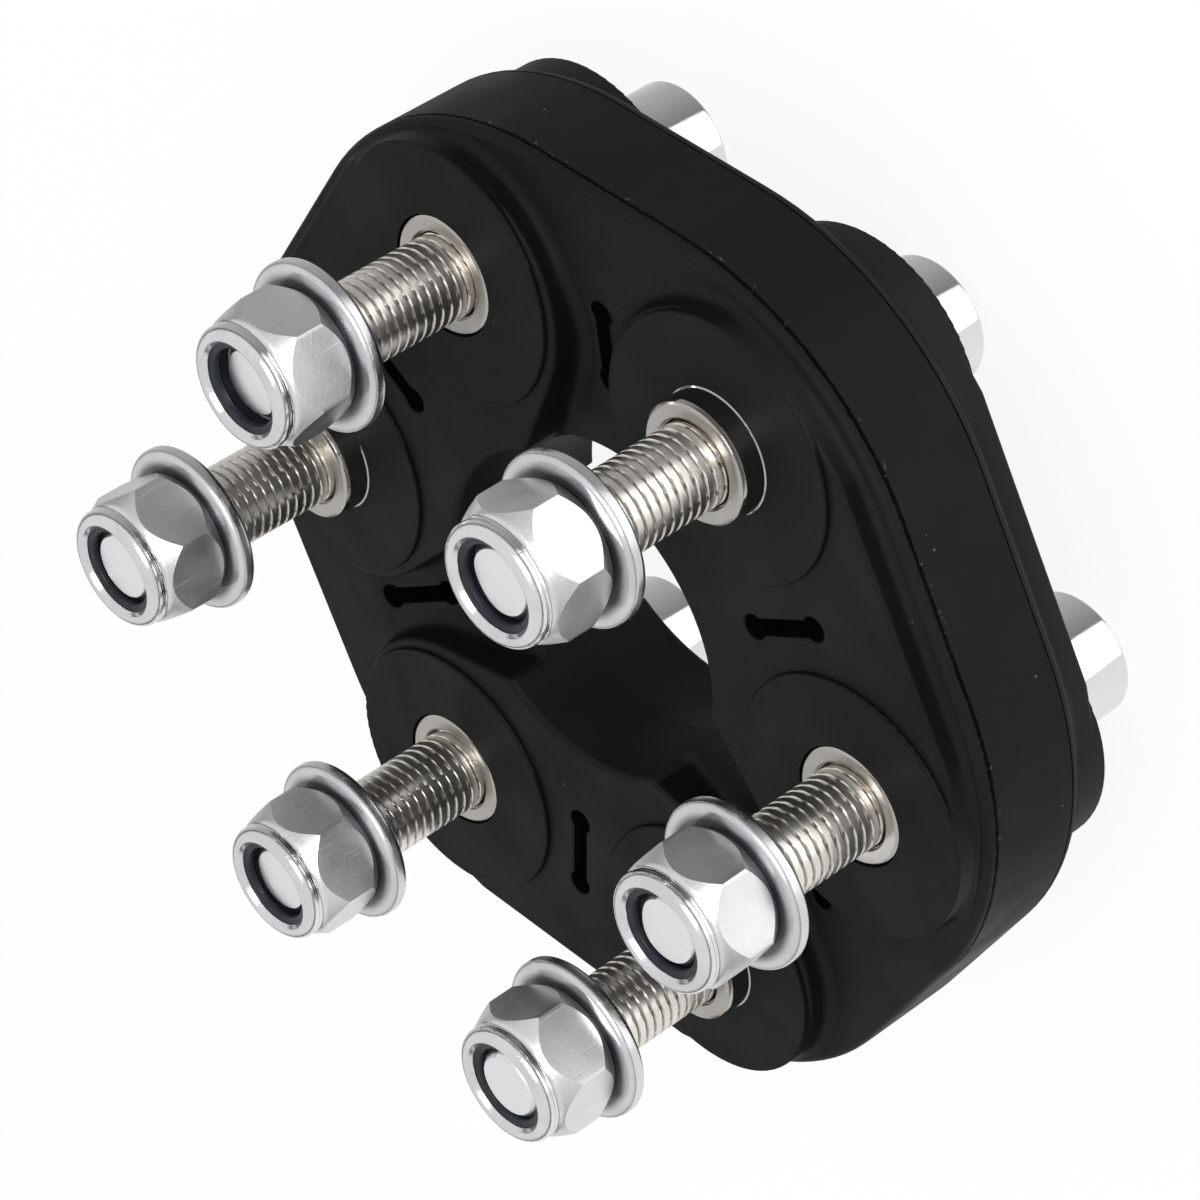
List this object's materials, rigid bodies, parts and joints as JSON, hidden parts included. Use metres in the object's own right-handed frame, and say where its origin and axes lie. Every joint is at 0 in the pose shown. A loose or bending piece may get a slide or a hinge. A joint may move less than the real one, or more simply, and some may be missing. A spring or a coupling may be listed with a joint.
{
  "type": "flexible disc coupling",
  "caption": "Moulded rubber flexible disc with steel sleeves on a bolt circle, each carrying a socket head bolt, washer and lock nut, for joining two shaft flanges.",
  "frame": {"origin": "on the coupling's axis, in the plane of the three lowest bolt heads, which it stands on", "axes": "+Z along the coupling's axis, from the bolt heads towards the nuts; +X through station 1, whose sleeve stands out at the rear"},
  "size_m": [0.1404, 0.1336, 0.0817],
  "materials": {
    "disc_rubber": "satin moulded rubber",
    "sleeve_steel": "turned and plated",
    "bolt_steel": "rolled thread, nickel tone",
    "washer_steel": "zinc plated, bright",
    "nut_steel": "zinc plated, bright",
    "ring_nylon": "dark nylon"
  },
  "bodies": {
    "root": {"flex_disc": "disc_rubber", "sleeve_1": "sleeve_steel", "sleeve_2": "sleeve_steel", "sleeve_3": "sleeve_steel", "sleeve_4": "sleeve_steel", "sleeve_5": "sleeve_steel", "sleeve_6": "sleeve_steel", "bolt_1": "bolt_steel", "bolt_2": "bolt_steel", "bolt_3": "bolt_steel", "bolt_4": "bolt_steel", "bolt_5": "bolt_steel", "bolt_6": "bolt_steel", "washer_1": "washer_steel", "washer_2": "washer_steel", "washer_3": "washer_steel", "washer_4": "washer_steel", "washer_5": "washer_steel", "washer_6": "washer_steel", "nut_1": "nut_steel", "nut_2": "nut_steel", "nut_3": "nut_steel", "nut_4": "nut_steel", "nut_5": "nut_steel", "nut_6": "nut_steel", "nylon_ring_1": "ring_nylon", "nylon_ring_2": "ring_nylon", "nylon_ring_3": "ring_nylon", "nylon_ring_4": "ring_nylon", "nylon_ring_5": "ring_nylon", "nylon_ring_6": "ring_nylon"}
  },
  "joints": []
}
